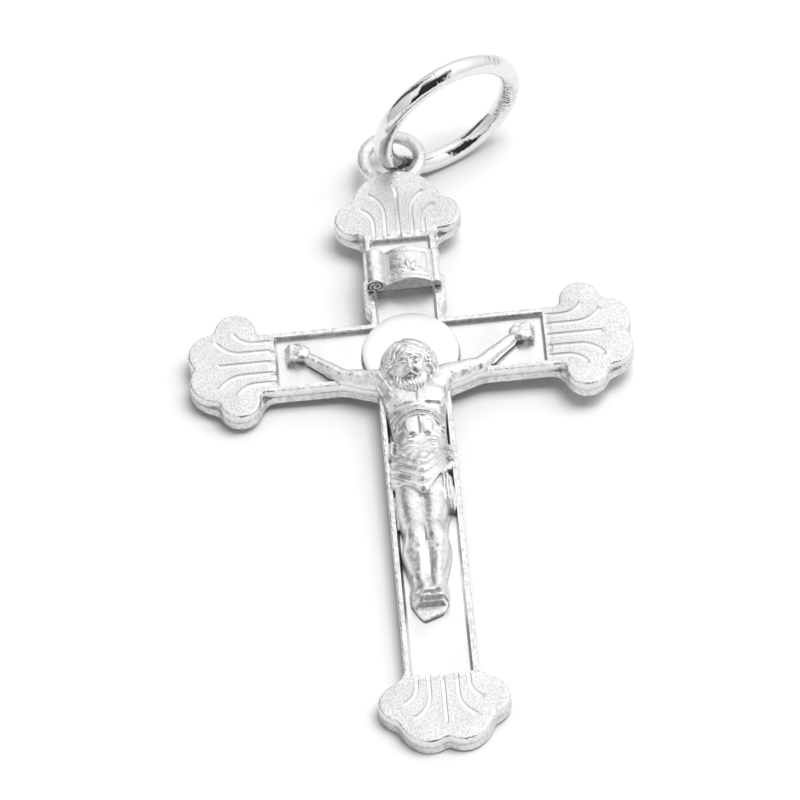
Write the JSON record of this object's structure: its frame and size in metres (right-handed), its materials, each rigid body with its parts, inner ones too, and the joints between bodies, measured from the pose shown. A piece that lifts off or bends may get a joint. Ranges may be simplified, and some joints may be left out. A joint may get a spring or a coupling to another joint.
{
  "type": "crucifix pendant with jump ring",
  "caption": "Cast cross pendant with shell-shaped ends, a sunk field, a figure in raised relief under a title scroll, and a round jump ring through its eye.",
  "frame": {"origin": "where the middle lines of the two bars cross, on the flat back", "axes": "+X across the cross, +Y up the cross towards the eye, +Z out of the face with the figure"},
  "size_m": [0.022, 0.0385, 0.0083],
  "materials": {
    "cast_silver": "satin cast silver with polished rims and frosted shell ends",
    "polished_silver": "mirror-polished silver wire"
  },
  "bodies": {
    "root": {"crucifix": "cast_silver", "jump_ring": "polished_silver"}
  },
  "joints": []
}
